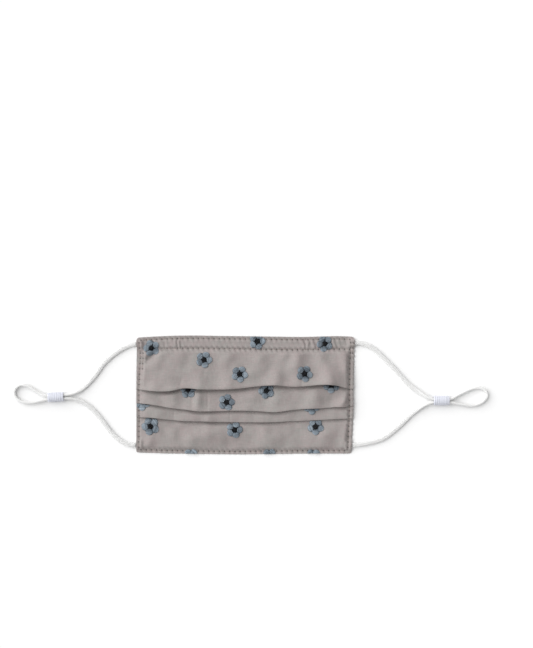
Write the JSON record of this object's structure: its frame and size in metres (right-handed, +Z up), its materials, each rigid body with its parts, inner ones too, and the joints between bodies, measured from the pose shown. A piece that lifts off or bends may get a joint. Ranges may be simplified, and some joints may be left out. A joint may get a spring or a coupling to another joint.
{
  "type": "cloth face mask",
  "caption": "Pleated cotton face mask lying flat, with embroidered flowers, a nose wire casing and elastic ear loops held by ribbed cord locks.",
  "frame": {"origin": "on the surface that the mask lies on, under the middle of the cloth panel", "axes": "+X along the pleats, +Y from the chin edge to the nose edge, +Z up out of the face side"},
  "size_m": [0.3914, 0.098, 0.0073],
  "materials": {
    "cotton": "taupe cotton sateen, soft low sheen, topstitched hems",
    "elastic": "white knitted flat elastic, matt",
    "silicone": "translucent white silicone, satin, ribbed",
    "petal_thread": "grey-blue embroidery thread in satin stitch, soft lustre",
    "heart_thread": "near-black embroidery thread, soft lustre"
  },
  "bodies": {
    "root": {"pleated_panel": "cotton", "ear_loop_left": "elastic", "ear_loop_right": "elastic", "cord_lock_left": "silicone", "cord_lock_right": "silicone", "flower_petals_01": "petal_thread", "flower_petals_02": "petal_thread", "flower_petals_03": "petal_thread", "flower_petals_04": "petal_thread", "flower_petals_05": "petal_thread", "flower_petals_06": "petal_thread", "flower_petals_07": "petal_thread", "flower_petals_08": "petal_thread", "flower_petals_09": "petal_thread", "flower_petals_10": "petal_thread", "flower_petals_11": "petal_thread", "flower_petals_12": "petal_thread", "flower_petals_13": "petal_thread", "flower_petals_14": "petal_thread", "flower_petals_15": "petal_thread", "flower_petals_16": "petal_thread", "flower_petals_17": "petal_thread", "flower_petals_18": "petal_thread", "flower_heart_01": "heart_thread", "flower_heart_02": "heart_thread", "flower_heart_03": "heart_thread", "flower_heart_04": "heart_thread", "flower_heart_05": "heart_thread", "flower_heart_06": "heart_thread", "flower_heart_07": "heart_thread", "flower_heart_08": "heart_thread", "flower_heart_09": "heart_thread", "flower_heart_10": "heart_thread", "flower_heart_13": "heart_thread", "flower_heart_14": "heart_thread", "flower_heart_15": "heart_thread"}
  },
  "joints": []
}
